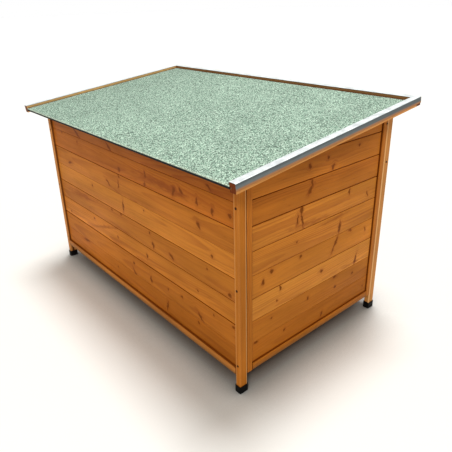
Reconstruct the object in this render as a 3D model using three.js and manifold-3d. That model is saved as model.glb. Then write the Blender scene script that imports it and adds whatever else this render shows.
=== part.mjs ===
// Wooden dog kennel with a sloping roof that lifts on hinges at the low back wall.
// Millimetres, +Z up, entrance facing -Y. The origin lies on the ground, under the
// middle of the roof. Left and right are named as seen from the entrance side, so
// left is -X.

import * as THREE from 'three';
import { mergeVertices } from 'three/addons/utils/BufferGeometryUtils.js';
import Module from 'manifold-3d';

const wasm = await Module();
wasm.setup();

// Body, over the outer faces of the corner posts. The two heights run from the
// ground to the roof plane, at the outer faces of the back and the front posts.
const bodyLength = 1050;
const bodyDepth = 600;
const backHeight = 607.5;
const frontHeight = 677.5;

// Roof edges past the outer faces of the posts, measured level
const sideOverhang = 55;
const backOverhang = 56;
const frontOverhang = 39;

// Clearances and the overrun of every cutting tool
const seatGap = 0.3;
const boardEndGap = 0.5;
const floorGap = 1.5;
const cutOverrun = 20;

// Corner posts, width along X and depth along Y, and their push-on foot caps
const postWidth = 18;
const postDepth = 25;
const edgeRadius = 3;
const capWall = 1.5;
const capFloor = 4;
const capHeight = 21;
const capEdgeRadius = 3.5;

// Frame of the wall panels: rails and stiles share one thickness
const frameThickness = 18;
const stileWidth = 19;
const railHeight = 20.5;
const railEdgeRadius = 1.5;
const frontBackRailUnderside = 53;
const sideRailUnderside = 55;
const floorRailDepth = 34;
const headerHeight = 77;

// Tongue-and-groove boards. Each solid holds the rows given here; the rows inside
// it are told apart by the same V joint that parts two solids.
const boardThickness = 8;
const boardPitch = 66.9;
const firstBoardUnderside = 69.3;
const rowsPerBoard = 2;
const rowsPerFrontBoard = 3;
const lowerFrontRows = 2;
const tongueThickness = 2.4;
const tongueHeight = 5;
const tongueRoom = 0.5;
const jointBevel = 1.6;
const frontBackRecess = 7.5;
const sideRecess = 5;
const grooveDepth = 4;
const narrowestBoardShare = 0.4;

// Entrance, between the door jambs
const entranceWidth = 320;
const entranceFieldWidth = 108;
const jambWidth = 19;

// Floor panels, laid on the front and back bottom rails
const floorThickness = 10;
const floorPanels = 2;

// Roof: plywood deck, felt, edge battens with metal trims, bearers under the deck
const deckThickness = 5.5;
const deckTongue = 5.5;
const feltThickness = 2;
const battenWidth = 19;
const battenHeight = 23;
const battenDrop = 6.6;
const trimThickness = 0.8;
const trimFaceHeight = 18;
const trimBendRadius = 1.6;
const bearerWidth = 18;
const bearerHeight = 24;
const bearerEndClearance = 8;

// Butt hinges under the back eave
const hingeInset = 175;
const hingeLength = 60;
const leafThickness = 1.5;
const leafWidth = 16;
const knuckleRadius = 3.2;
const knuckleCount = 5;
const hingePinRadius = 1.5;
const hingePinHeadRadius = 2.6;
const hingePinHeadThickness = 1.2;

// Slotted roof stay, inside the left wall
const stayReach = 220;
const stayStartAngle = THREE.MathUtils.degToRad(14);
const roofOpenAngle = THREE.MathUtils.degToRad(70);
const stayWidth = 20;
const stayThickness = 2;
const staySideGap = 0.9;
const stayPegRadius = 3;
const stayPegRoom = 0.4;
const stayHeadRadius = 6.5;
const stayHeadThickness = 1.5;
const stayPlateThickness = 2;
const stayPlateLength = 34;
const stayPlateWidth = 18;
const stayEndRoom = 8;
const stayDeckRoom = 2;

const roundSegments = 24;
const cornerSegments = 4;

// Places that follow from the sizes above
const halfLength = bodyLength / 2;
const backY = (bodyDepth + frontOverhang - backOverhang) / 2;
const frontY = backY - bodyDepth;
const slope = Math.atan2(frontHeight - backHeight, bodyDepth);
const postInnerX = halfLength - postWidth;
const panelInnerX = halfLength - frameThickness;
const sideBoardInnerX = halfLength - sideRecess - boardThickness;
const roofHalfWidth = halfLength + sideOverhang;
const lowerWallHeight = Math.min(backHeight, frontHeight);
const blankTop = Math.max(backHeight, frontHeight) + cutOverrun;

const finishes = {
  pine: { color: 0xa85a1e, roughness: 0.62, metalness: 0 },
  plywood: { color: 0xc79a63, roughness: 0.75, metalness: 0 },
  felt: { color: 0x9cc0a8, roughness: 0.95, metalness: 0 },
  trim: { color: 0xc4cacd, roughness: 0.35, metalness: 0.9 },
  cap: { color: 0x141416, roughness: 0.5, metalness: 0 },
  zinc: { color: 0xb8bcc0, roughness: 0.4, metalness: 0.9 },
};

const kennel = new THREE.Group();
const roof = new THREE.Group();
kennel.add(roof);

function addPiece(parent, name, geometry, finish, x = 0, y = 0, z = 0) {
  const mesh = new THREE.Mesh(geometry, new THREE.MeshStandardMaterial(finishes[finish]));
  mesh.name = name;
  mesh.position.set(x, y, z);
  parent.add(mesh);
  return mesh;
}

// Solids: closed triangle meshes that can be joined and cut
function toSolid(geometry) {
  const bare = geometry.clone();
  bare.deleteAttribute('normal');
  bare.deleteAttribute('uv');
  const merged = mergeVertices(bare);
  return new wasm.Manifold(new wasm.Mesh({
    numProp: 3,
    vertProperties: new Float32Array(merged.attributes.position.array),
    triVerts: new Uint32Array(merged.index.array),
  }));
}

function toGeometry(solid) {
  const { vertProperties, triVerts } = solid.getMesh();
  const geometry = new THREE.BufferGeometry();
  geometry.setAttribute('position', new THREE.BufferAttribute(vertProperties, 3));
  geometry.setIndex(new THREE.BufferAttribute(triVerts, 1));
  geometry.computeVertexNormals();
  return geometry;
}

function join(...geometries) {
  return toGeometry(geometries.map(toSolid).reduce((whole, part) => whole.add(part)));
}

function cut(geometry, ...tools) {
  return toGeometry(tools.map(toSolid).reduce((rest, tool) => rest.subtract(tool), toSolid(geometry)));
}

// Extrusions of an outline along one axis, from a low to a high coordinate.
// Along X the outline is given in (y, z), along Y in (x, z), along Z in (x, y).
const unitX = new THREE.Vector3(1, 0, 0);
const unitY = new THREE.Vector3(0, 1, 0);
const unitZ = new THREE.Vector3(0, 0, 1);

function asShape(outline) {
  if (outline instanceof THREE.Shape) return outline;
  return new THREE.Shape(outline.map(([a, b]) => new THREE.Vector2(a, b)));
}

function extrude(outline, depth) {
  const options = { depth, bevelEnabled: false, curveSegments: roundSegments / 2, steps: 1 };
  return new THREE.ExtrudeGeometry(asShape(outline), options);
}

function alongX(outline, low, high) {
  const turn = new THREE.Matrix4().makeBasis(unitY, unitZ, unitX);
  return extrude(outline, high - low).applyMatrix4(turn).translate(low, 0, 0);
}

function alongY(outline, low, high) {
  const turn = new THREE.Matrix4().makeBasis(unitX, unitZ, unitY.clone().negate());
  return extrude(outline, high - low).applyMatrix4(turn).translate(0, high, 0);
}

function alongZ(outline, low, high) {
  return extrude(outline, high - low).translate(0, 0, low);
}

function rectangle(a0, b0, a1, b1) {
  return [[a0, b0], [a1, b0], [a1, b1], [a0, b1]];
}

// Quarter round at a corner of an outline. Quarter 0 faces +a and +b, and each next
// one lies a quarter turn further.
function roundCorner(a, b, quarter, radius) {
  const middle = (quarter + 0.5) * Math.PI / 2;
  const centreA = a - radius * Math.sign(Math.cos(middle));
  const centreB = b - radius * Math.sign(Math.sin(middle));
  return Array.from({ length: cornerSegments + 1 }, (_, step) => {
    const angle = (quarter + step / cornerSegments) * Math.PI / 2;
    return [centreA + radius * Math.cos(angle), centreB + radius * Math.sin(angle)];
  });
}

// Rectangle whose four corners are rounded with a radius
function roundedRectangle(a0, b0, a1, b1, radius) {
  return [
    ...roundCorner(a1, b0, 3, radius),
    ...roundCorner(a1, b1, 0, radius),
    ...roundCorner(a0, b1, 1, radius),
    ...roundCorner(a0, b0, 2, radius),
  ];
}

// The roof plane: wall pieces are drawn up to blankTop, and everything above the
// plane is cut away, so that walls and posts end a seat gap under the sloping deck.
function roofPlaneZ(y) {
  return backHeight + (backY - y) * Math.tan(slope);
}

function spaceAboveRoofPlane() {
  const gap = seatGap / Math.cos(slope);
  const back = backY + backOverhang;
  const front = frontY - frontOverhang;
  const top = blankTop + cutOverrun;
  const outline = [
    [back, roofPlaneZ(back) - gap],
    [back, top],
    [front, top],
    [front, roofPlaneZ(front) - gap],
  ];
  return alongX(outline, -roofHalfWidth, roofHalfWidth);
}

function endUnderRoof(geometry) {
  return cut(geometry, spaceAboveRoofPlane());
}

// Corner posts and foot caps

// Room for the boards' ends in a post or stile, as a slot that runs its full height
function boardSlotX(outerY, inward, recess, innerX, sideX) {
  const near = outerY + inward * (recess - seatGap);
  const far = outerY + inward * (recess + boardThickness + seatGap);
  const bottom = innerX + sideX * (grooveDepth + boardEndGap);
  const outline = rectangle(
    Math.min(bottom, innerX - sideX * cutOverrun), Math.min(near, far),
    Math.max(bottom, innerX - sideX * cutOverrun), Math.max(near, far),
  );
  return alongZ(outline, 0, blankTop + cutOverrun);
}

function makePost(sideX, sideY) {
  const outerY = sideY > 0 ? backY : frontY;
  const outline = roundedRectangle(
    Math.min(sideX * halfLength, sideX * postInnerX),
    Math.min(outerY, outerY - sideY * postDepth),
    Math.max(sideX * halfLength, sideX * postInnerX),
    Math.max(outerY, outerY - sideY * postDepth),
    edgeRadius,
  );
  const blank = alongZ(outline, capFloor + seatGap, blankTop);
  const slot = boardSlotX(outerY, -sideY, frontBackRecess, sideX * postInnerX, sideX);
  return endUnderRoof(cut(blank, slot));
}

function makeFootCap() {
  const halfX = postWidth / 2 + seatGap;
  const halfY = postDepth / 2 + seatGap;
  const shell = alongZ(
    roundedRectangle(-halfX - capWall, -halfY - capWall, halfX + capWall, halfY + capWall, capEdgeRadius),
    0, capHeight,
  );
  const pocket = alongZ(
    roundedRectangle(-halfX, -halfY, halfX, halfY, Math.max(capEdgeRadius - capWall, seatGap)),
    capFloor, capHeight + cutOverrun,
  );
  return cut(shell, pocket);
}

function addPosts() {
  for (const [front, sideY] of [['front', -1], ['back', 1]]) {
    for (const [side, sideX] of [['left', -1], ['right', 1]]) {
      const outerY = sideY > 0 ? backY : frontY;
      addPiece(kennel, `post_${front}_${side}`, makePost(sideX, sideY), 'pine');
      addPiece(
        kennel, `foot_cap_${front}_${side}`, makeFootCap(), 'cap',
        sideX * (halfLength - postWidth / 2), outerY - sideY * postDepth / 2,
      );
    }
  }
}

// Rails and boards are drawn in a wall's own section: t runs from the outer face
// of the frame inwards, z up. onBack, onFront and onSide put it in its wall.

// Rail section with eased edges and a groove for the boards on its top, its underside
// or both
function railSection(depth, bottom, top, recess, grooves) {
  const near = recess - seatGap;
  const far = recess + boardThickness + seatGap;
  const points = roundCorner(0, bottom, 2, railEdgeRadius);
  if (grooves.below !== undefined) {
    points.push([near, bottom], [near, grooves.below], [far, grooves.below], [far, bottom]);
  }
  points.push(...roundCorner(depth, bottom, 3, railEdgeRadius));
  points.push(...roundCorner(depth, top, 0, railEdgeRadius));
  if (grooves.above !== undefined) {
    points.push([far, top], [far, grooves.above], [near, grooves.above], [near, top]);
  }
  points.push(...roundCorner(0, top, 1, railEdgeRadius));
  return points;
}

// Board section from low to high, with a V joint at every row that it holds
function boardSection(low, high, rowJoints, hasGroove, hasTongue, recess) {
  const inner = boardThickness;
  const tongueNear = (boardThickness - tongueThickness) / 2;
  const tongueFar = tongueNear + tongueThickness;
  const points = [];
  if (hasGroove) {
    const grooveTop = low + tongueHeight + tongueRoom;
    points.push([inner, low], [tongueFar + seatGap, low], [tongueFar + seatGap, grooveTop]);
    points.push([tongueNear - seatGap, grooveTop], [tongueNear - seatGap, low]);
    points.push([jointBevel, low], [0, low + jointBevel]);
  } else {
    points.push([inner, low], [0, low]);
  }
  for (const joint of rowJoints) {
    points.push([0, joint - jointBevel], [jointBevel, joint], [0, joint + jointBevel]);
  }
  if (hasTongue) {
    points.push([0, high - jointBevel], [jointBevel, high], [tongueNear, high]);
    points.push([tongueNear, high + tongueHeight], [tongueFar, high + tongueHeight]);
    points.push([tongueFar, high], [inner, high]);
  } else {
    points.push([0, high], [inner, high]);
  }
  return points.map(([t, z]) => [t + recess, z]);
}

// Heights of the row joints between low and high, on one grid all round the kennel
function rowJoints(low, high) {
  const joints = [];
  const firstRow = Math.ceil((low + jointBevel - firstBoardUnderside) / boardPitch);
  for (let row = firstRow; firstBoardUnderside + row * boardPitch < high - jointBevel; row += 1) {
    joints.push(firstBoardUnderside + row * boardPitch);
  }
  return joints;
}

// The boards that fill a field from low to high, split at every so many rows. A
// leftover too narrow for a board stays on the one below it.
function boardSpans(low, high, rows) {
  const firstRow = Math.floor((low + seatGap - firstBoardUnderside) / boardPitch);
  const step = rows * boardPitch;
  const ends = [];
  let end = firstBoardUnderside + firstRow * boardPitch + step;
  for (; end < high - boardPitch * narrowestBoardShare; end += step) ends.push(end);
  ends.push(high);
  return ends.map((top, index) => {
    const isTop = index === ends.length - 1;
    const bottom = index === 0 ? low : ends[index - 1];
    return {
      low: bottom,
      high: isTop ? top : top - seatGap,
      joints: rowJoints(bottom, top),
      hasGroove: index > 0,
      hasTongue: !isTop,
    };
  });
}

function sectionOf(span, recess) {
  return boardSection(span.low, span.high, span.joints, span.hasGroove, span.hasTongue, recess);
}

// Back and front walls: sections run along X, t is measured from the outer face
function onBack(section) {
  return section.map(([t, z]) => [backY - t, z]);
}

function onFront(section) {
  return section.map(([t, z]) => [frontY + t, z]);
}

function onSide(section, sideX) {
  return section.map(([t, z]) => [sideX * (halfLength - t), z]);
}

const railTop = frontBackRailUnderside + railHeight;
const boardEndX = postInnerX + grooveDepth;

function bottomRailSection() {
  const grooves = { above: firstBoardUnderside - seatGap };
  return railSection(floorRailDepth, frontBackRailUnderside, railTop, frontBackRecess, grooves);
}

function addBackWall() {
  const railEnd = postInnerX - seatGap;
  const topRailUnderside = backHeight - railHeight;
  const boardTop = topRailUnderside + grooveDepth;
  addPiece(kennel, 'back_bottom_rail', alongX(onBack(bottomRailSection()), -railEnd, railEnd), 'pine');

  const topRail = railSection(
    frameThickness, topRailUnderside, blankTop, frontBackRecess, { below: boardTop + seatGap },
  );
  addPiece(kennel, 'back_top_rail', endUnderRoof(alongX(onBack(topRail), -railEnd, railEnd)), 'pine');

  boardSpans(firstBoardUnderside, boardTop, rowsPerBoard).forEach((span, index) => {
    const boards = alongX(onBack(sectionOf(span, frontBackRecess)), -boardEndX, boardEndX);
    addPiece(kennel, `back_boards_${index + 1}`, boards, 'pine');
  });
}

// Front wall: bottom rail, sill rail, header, and two jambs beside the entrance
function makeJamb(low, high, slotSide) {
  const blank = alongZ(
    roundedRectangle(0, frontY, jambWidth, frontY + frameThickness, edgeRadius), low, high,
  );
  const faceX = slotSide > 0 ? jambWidth : 0;
  const slot = boardSlotX(frontY, 1, frontBackRecess, faceX, -slotSide);
  return cut(blank, slot);
}

function addFrontWall() {
  const railEnd = postInnerX - seatGap;
  const lowerTop = firstBoardUnderside + lowerFrontRows * boardPitch;
  const sillUnderside = lowerTop - grooveDepth;
  const sillTop = sillUnderside + railHeight;
  const upperLow = sillTop - grooveDepth;
  const headerUnderside = frontHeight - headerHeight;
  const upperTop = headerUnderside + grooveDepth;
  const leftJambX = -postInnerX + entranceFieldWidth;
  const rightJambX = leftJambX + jambWidth + entranceWidth;

  addPiece(kennel, 'front_bottom_rail', alongX(onFront(bottomRailSection()), -railEnd, railEnd), 'pine');
  const sill = railSection(
    frameThickness, sillUnderside, sillTop, frontBackRecess,
    { below: lowerTop + seatGap, above: upperLow - seatGap },
  );
  addPiece(kennel, 'front_sill_rail', alongX(onFront(sill), -railEnd, railEnd), 'pine');
  const header = railSection(
    frameThickness, headerUnderside, blankTop, frontBackRecess, { below: upperTop + seatGap },
  );
  addPiece(kennel, 'front_header', endUnderRoof(alongX(onFront(header), -railEnd, railEnd)), 'pine');

  const jambLow = sillTop + seatGap;
  const jambHigh = headerUnderside - seatGap;
  addPiece(kennel, 'front_left_jamb', makeJamb(jambLow, jambHigh, -1), 'pine', leftJambX);
  addPiece(kennel, 'front_right_jamb', makeJamb(jambLow, jambHigh, 1), 'pine', rightJambX);

  const [lower] = boardSpans(firstBoardUnderside, lowerTop, lowerFrontRows);
  addPiece(
    kennel, 'front_lower_boards',
    alongX(onFront(sectionOf(lower, frontBackRecess)), -boardEndX, boardEndX), 'pine',
  );
  const fields = [
    ['left', -boardEndX, leftJambX + grooveDepth],
    ['right', rightJambX + jambWidth - grooveDepth, boardEndX],
  ];
  for (const [side, startX, endX] of fields) {
    boardSpans(upperLow, upperTop, rowsPerFrontBoard).forEach((span, index) => {
      const boards = alongX(onFront(sectionOf(span, frontBackRecess)), startX, endX);
      addPiece(kennel, `front_${side}_boards_${index + 1}`, boards, 'pine');
    });
  }
}

// Side walls: a bottom rail between two stiles, boards up to the sloping roof
function makeStile(sideX, lowY, slotSide) {
  const outline = roundedRectangle(
    Math.min(sideX * halfLength, sideX * panelInnerX), lowY,
    Math.max(sideX * halfLength, sideX * panelInnerX), lowY + stileWidth,
    edgeRadius,
  );
  const blank = alongZ(outline, sideRailUnderside, blankTop);
  const near = halfLength - sideRecess + seatGap;
  const far = sideBoardInnerX - seatGap;
  const faceY = slotSide > 0 ? lowY + stileWidth : lowY;
  const bottom = faceY - slotSide * (grooveDepth + boardEndGap);
  const past = faceY + slotSide * cutOverrun;
  const slot = alongZ(
    rectangle(
      Math.min(sideX * near, sideX * far), Math.min(bottom, past),
      Math.max(sideX * near, sideX * far), Math.max(bottom, past),
    ),
    0, blankTop + cutOverrun,
  );
  return endUnderRoof(cut(blank, slot));
}

function addSideWall(side, sideX) {
  const backStileY = backY - postDepth - seatGap - stileWidth;
  const frontStileY = frontY + postDepth + seatGap;
  const lowY = frontStileY + stileWidth;
  const highY = backStileY;
  const railTopZ = sideRailUnderside + railHeight;
  addPiece(kennel, `${side}_front_stile`, makeStile(sideX, frontStileY, 1), 'pine');
  addPiece(kennel, `${side}_back_stile`, makeStile(sideX, backStileY, -1), 'pine');

  const rail = railSection(
    frameThickness, sideRailUnderside, railTopZ, sideRecess, { above: firstBoardUnderside - seatGap },
  );
  addPiece(
    kennel, `${side}_bottom_rail`,
    alongY(onSide(rail, sideX), lowY + seatGap, highY - seatGap), 'pine',
  );

  const spans = boardSpans(firstBoardUnderside, lowerWallHeight - seatGap, rowsPerBoard);
  const top = spans[spans.length - 1];
  top.high = blankTop;
  top.joints = rowJoints(top.low, Math.max(backHeight, frontHeight));
  spans.forEach((span, index) => {
    const section = onSide(sectionOf(span, sideRecess), sideX);
    const boards = alongY(section, lowY - grooveDepth, highY + grooveDepth);
    addPiece(kennel, `${side}_boards_${index + 1}`, span === top ? endUnderRoof(boards) : boards, 'pine');
  });
}

// Floor panels, side by side, from the front rail to the back rail
function addFloor() {
  const halfSpan = postInnerX - floorGap;
  const low = frontY + frameThickness + floorGap;
  const high = backY - frameThickness - floorGap;
  const pitch = 2 * halfSpan / floorPanels;
  for (let index = 0; index < floorPanels; index += 1) {
    const startX = -halfSpan + index * pitch;
    const endX = startX + pitch - floorGap;
    const panel = alongX(rectangle(low, 0, high, floorThickness), startX, endX);
    addPiece(kennel, `floor_panel_${index + 1}`, panel, 'plywood', 0, 0, railTop + seatGap);
  }
}

// Roof, drawn in its own frame: y runs down the slope towards the back, z is square
// to the deck, and the origin lies on the deck's underside above the back posts'
// outer faces.
const battenTop = battenHeight - battenDrop;
const trimTop = battenTop + seatGap + trimThickness;
const trimWidth = battenWidth + seatGap + trimThickness;
const battenOuterX = roofHalfWidth - trimThickness - seatGap;
const battenInnerX = battenOuterX - battenWidth;
const roofBackEnd = (backOverhang - trimTop * Math.sin(slope)) / Math.cos(slope);
const trimFaceBottom = trimTop - trimFaceHeight;
const roofFrontEnd = -(bodyDepth + frontOverhang + trimFaceBottom * Math.sin(slope)) / Math.cos(slope);
const frontBattenOuterY = roofFrontEnd + trimThickness + seatGap;
const frontBattenInnerY = frontBattenOuterY + battenWidth;

// Batten section: a groove in the inner side holds the edge of the deck
function battenSection(outer, inner) {
  const inward = Math.sign(outer - inner);
  const grooveBottom = inner + inward * (deckTongue + boardEndGap);
  return [
    [outer, -battenDrop], [inner, -battenDrop],
    [inner, -seatGap], [grooveBottom, -seatGap],
    [grooveBottom, deckThickness + seatGap], [inner, deckThickness + seatGap],
    [inner, battenTop], [outer, battenTop],
  ];
}

// L-shaped trim over a batten: outer face at 'outer', bent along its top edge
function trimSection(outer, inward) {
  const arc = (radius) => Array.from({ length: cornerSegments + 1 }, (_, step) => {
    const angle = (step / cornerSegments) * Math.PI / 2;
    return [
      outer + inward * (trimBendRadius - radius * Math.cos(angle)),
      trimTop - trimBendRadius + radius * Math.sin(angle),
    ];
  });
  return [
    [outer, trimFaceBottom],
    ...arc(trimBendRadius),
    [outer + inward * trimWidth, trimTop],
    [outer + inward * trimWidth, trimTop - trimThickness],
    ...arc(trimBendRadius - trimThickness).reverse(),
    [outer + inward * trimThickness, trimFaceBottom],
  ];
}

// Space on one side of the mitre that parts the side trim from the front trim
function mitreTool(sideX, removesFront) {
  const reach = trimWidth + cutOverrun;
  const shift = removesFront ? seatGap : -seatGap;
  const farX = removesFront ? roofHalfWidth - reach : roofHalfWidth + reach;
  const farY = removesFront ? roofFrontEnd - reach : roofFrontEnd + reach;
  const outline = [
    [sideX * (roofHalfWidth + reach), roofFrontEnd - reach + shift],
    [sideX * (roofHalfWidth - reach), roofFrontEnd + reach + shift],
    [sideX * farX, farY],
  ];
  return alongZ(outline, -battenDrop - cutOverrun, trimTop + cutOverrun);
}

function addRoofDeck() {
  const deckHalf = battenInnerX + deckTongue;
  const deckBack = roofBackEnd - feltThickness - seatGap;
  const deck = rectangle(frontBattenInnerY - deckTongue, 0, deckBack, deckThickness);
  addPiece(roof, 'roof_deck', alongX(deck, -deckHalf, deckHalf), 'plywood');

  // The felt is folded down over the deck's back edge
  const feltLow = deckThickness + seatGap;
  const feltTop = feltLow + feltThickness;
  const felt = [
    [frontBattenInnerY + seatGap, feltLow], [deckBack + seatGap, feltLow],
    [deckBack + seatGap, 0], [roofBackEnd, 0],
    [roofBackEnd, feltTop], [frontBattenInnerY + seatGap, feltTop],
  ];
  const feltHalf = battenInnerX - seatGap;
  addPiece(roof, 'roof_felt', alongX(felt, -feltHalf, feltHalf), 'felt');
}

function addRoofEdges() {
  for (const [side, sideX] of [['left', -1], ['right', 1]]) {
    const batten = battenSection(sideX * battenOuterX, sideX * battenInnerX);
    addPiece(
      roof, `roof_${side}_batten`,
      alongY(batten, frontBattenInnerY + seatGap, roofBackEnd), 'pine',
    );
    const trim = alongY(trimSection(sideX * roofHalfWidth, -sideX), roofFrontEnd, roofBackEnd);
    addPiece(roof, `roof_${side}_trim`, cut(trim, mitreTool(sideX, true)), 'trim');
  }
  const batten = battenSection(frontBattenOuterY, frontBattenInnerY);
  addPiece(roof, 'roof_front_batten', alongX(batten, -battenOuterX, battenOuterX), 'pine');
  const trim = alongX(trimSection(roofFrontEnd, 1), -roofHalfWidth, roofHalfWidth);
  addPiece(roof, 'roof_front_trim', cut(trim, mitreTool(-1, false), mitreTool(1, false)), 'trim');
}

// Bearers under the deck stand just clear of the stay on the left wall
const stayStack = seatGap + stayPlateThickness + 2 * staySideGap + stayThickness;
const bearerOuterX = sideBoardInnerX - stayStack - stayPlateThickness - seatGap;

function addBearers() {
  const level = (y) => (y - backY) / Math.cos(slope);
  const back = level(backY - frameThickness) - bearerEndClearance;
  const front = level(frontY + frameThickness) + bearerEndClearance;
  for (const [side, sideX] of [['left', -1], ['right', 1]]) {
    const outline = rectangle(-bearerWidth / 2, -seatGap - bearerHeight, bearerWidth / 2, -seatGap);
    addPiece(
      roof, `roof_${side}_bearer`, alongY(outline, front, back), 'pine',
      sideX * (bearerOuterX - bearerWidth / 2),
    );
  }
}

// Butt hinge, drawn round its axis along X: the leaf hangs down behind the knuckles
const hingeOffset = seatGap + knuckleRadius;
const hingeY = backY + hingeOffset;
const hingeZ = roofPlaneZ(hingeY) - hingeOffset / Math.cos(slope);
const hingeRoofY = hingeOffset * (1 + Math.sin(slope)) / Math.cos(slope);

function ring(radius, low, high) {
  const shape = new THREE.Shape();
  shape.absarc(0, 0, radius, 0, 2 * Math.PI);
  return alongX(shape, low, high);
}

function makeHingeLeaf(ownsOuterKnuckles) {
  const pitch = hingeLength / knuckleCount;
  const bore = ring(hingePinRadius + seatGap, -hingeLength, hingeLength);
  const solids = [alongX(
    rectangle(-knuckleRadius, -knuckleRadius - leafWidth, leafThickness - knuckleRadius, 0),
    -hingeLength / 2, hingeLength / 2,
  )];
  const rooms = [];
  for (let index = 0; index < knuckleCount; index += 1) {
    const low = -hingeLength / 2 + index * pitch;
    const isOwn = (index % 2 === 0) === ownsOuterKnuckles;
    if (isOwn) solids.push(ring(knuckleRadius, low + seatGap / 2, low + pitch - seatGap / 2));
    else rooms.push(ring(knuckleRadius + seatGap, low - seatGap / 2, low + pitch + seatGap / 2));
  }
  return cut(join(...solids), bore, ...rooms);
}

function makeHingePin() {
  const half = hingeLength / 2 + seatGap;
  const end = half + hingePinHeadThickness;
  const profile = [
    [0, -end], [hingePinHeadRadius, -end], [hingePinHeadRadius, -half], [hingePinRadius, -half],
    [hingePinRadius, half], [hingePinHeadRadius, half], [hingePinHeadRadius, end], [0, end],
  ].map(([radius, along]) => new THREE.Vector2(radius, along));
  return new THREE.LatheGeometry(profile, roundSegments).rotateZ(Math.PI / 2);
}

function addHinges() {
  for (const [side, sideX] of [['left', -1], ['right', 1]]) {
    const x = sideX * (postInnerX - hingeInset);
    addPiece(kennel, `hinge_${side}_wall_leaf`, makeHingeLeaf(true), 'zinc', x, hingeY, hingeZ);
    addPiece(kennel, `hinge_${side}_pin`, makeHingePin(), 'zinc', x, hingeY, hingeZ);
    const roofLeaf = addPiece(
      roof, `hinge_${side}_roof_leaf`, makeHingeLeaf(false), 'zinc', x, hingeRoofY, -hingeOffset,
    );
    roofLeaf.rotation.set(Math.PI / 2, 0, Math.PI);
  }
}

// Roof stay: its pivot on the roof and its peg on the wall lie equally far from the
// hinge axis, so the arm between them always turns half as far as the roof. The arm
// slides over the peg along its slot.
const pivotRoofZ = -seatGap - stayDeckRoom - stayWidth / 2;
const pivotRoofY = hingeRoofY - Math.sqrt(stayReach ** 2 - (pivotRoofZ + hingeOffset) ** 2);

function roofToWorld(y, z) {
  return [
    backY + y * Math.cos(slope) + z * Math.sin(slope),
    backHeight - y * Math.sin(slope) + z * Math.cos(slope),
  ];
}

function pegPlace() {
  const [pivotY, pivotZ] = roofToWorld(pivotRoofY, pivotRoofZ);
  const fromAxis = new THREE.Vector2(pivotY - hingeY, pivotZ - hingeZ);
  fromAxis.rotateAround(new THREE.Vector2(), stayStartAngle);
  return [hingeY + fromAxis.x, hingeZ + fromAxis.y];
}

// Plate with a headed stud that passes through the arm, pointing along +X
function makeStayStud() {
  const halfWidth = stayPlateWidth / 2;
  const halfLong = stayPlateLength / 2;
  const plate = alongX(
    roundedRectangle(-halfWidth, -halfLong, halfWidth, halfLong, edgeRadius),
    0, stayPlateThickness,
  );
  const headLow = stayPlateThickness + 2 * staySideGap + stayThickness;
  const stud = ring(stayPegRadius, stayPlateThickness / 2, headLow + stayHeadThickness / 2);
  const head = ring(stayHeadRadius, headLow, headLow + stayHeadThickness);
  return join(plate, stud, head);
}

function makeStayArm() {
  const shortest = 2 * stayReach * Math.sin(stayStartAngle / 2);
  const longest = 2 * stayReach * Math.sin((stayStartAngle + roofOpenAngle) / 2);
  const half = stayWidth / 2;
  const slotRadius = stayPegRadius + stayPegRoom;
  const end = longest + slotRadius + stayEndRoom;
  const arm = new THREE.Shape();
  arm.absarc(0, 0, half, 0, Math.PI);
  arm.absarc(0, half - end, half, Math.PI, 2 * Math.PI);
  const slot = new THREE.Path();
  slot.absarc(0, -shortest, slotRadius, 0, Math.PI);
  slot.absarc(0, -longest, slotRadius, Math.PI, 2 * Math.PI);
  const hole = new THREE.Path();
  hole.absarc(0, 0, slotRadius, 0, 2 * Math.PI);
  arm.holes.push(slot, hole);
  return alongX(arm, 0, stayThickness);
}

function addStay() {
  const [pivotY, pivotZ] = roofToWorld(pivotRoofY, pivotRoofZ);
  const [pegY, pegZ] = pegPlace();
  const wallX = -sideBoardInnerX + seatGap;
  const armX = wallX + stayPlateThickness + staySideGap;
  addPiece(kennel, 'stay_wall_peg', makeStayStud(), 'zinc', wallX, pegY, pegZ);

  const pivot = addPiece(
    roof, 'stay_roof_pivot', makeStayStud(), 'zinc',
    -bearerOuterX - seatGap, pivotRoofY, pivotRoofZ,
  );
  pivot.rotation.set(Math.PI / 2, 0, Math.PI);

  const arm = addPiece(kennel, 'stay_arm', makeStayArm(), 'zinc', armX, pivotY, pivotZ);
  arm.rotation.x = Math.atan2(pegY - pivotY, pivotZ - pegZ);
}

addPosts();
addBackWall();
addFrontWall();
addSideWall('left', -1);
addSideWall('right', 1);
addFloor();
addRoofDeck();
addRoofEdges();
addBearers();
addHinges();
addStay();

roof.position.set(0, backY, backHeight);
roof.rotation.x = -slope;

export default kennel;
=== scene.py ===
"""Looks of a wooden dog kennel with a lifting felt roof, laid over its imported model."""

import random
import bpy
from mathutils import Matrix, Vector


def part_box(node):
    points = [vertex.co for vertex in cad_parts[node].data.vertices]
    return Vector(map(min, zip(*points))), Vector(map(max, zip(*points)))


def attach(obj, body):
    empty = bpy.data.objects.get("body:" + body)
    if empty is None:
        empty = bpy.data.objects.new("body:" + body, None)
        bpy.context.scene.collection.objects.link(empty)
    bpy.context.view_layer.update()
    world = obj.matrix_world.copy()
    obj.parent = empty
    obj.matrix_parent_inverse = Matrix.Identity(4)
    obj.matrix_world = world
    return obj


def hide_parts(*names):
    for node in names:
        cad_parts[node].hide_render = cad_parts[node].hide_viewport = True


bl_info = {
    "name": "Dog kennel",
    "version": (1, 0, 0),
    "blender": (4, 5, 0),
    "location": "3D View > Sidebar > Kennel",
    "description": "Boards, timber, roof felt, trims and fittings of a wooden dog kennel",
    "category": "Object",
}

from math import atan, cos, exp, pi, radians, sin

import bmesh
import bpy
from bpy.props import FloatProperty, FloatVectorProperty, PointerProperty
from mathutils import Matrix, Vector

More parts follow.
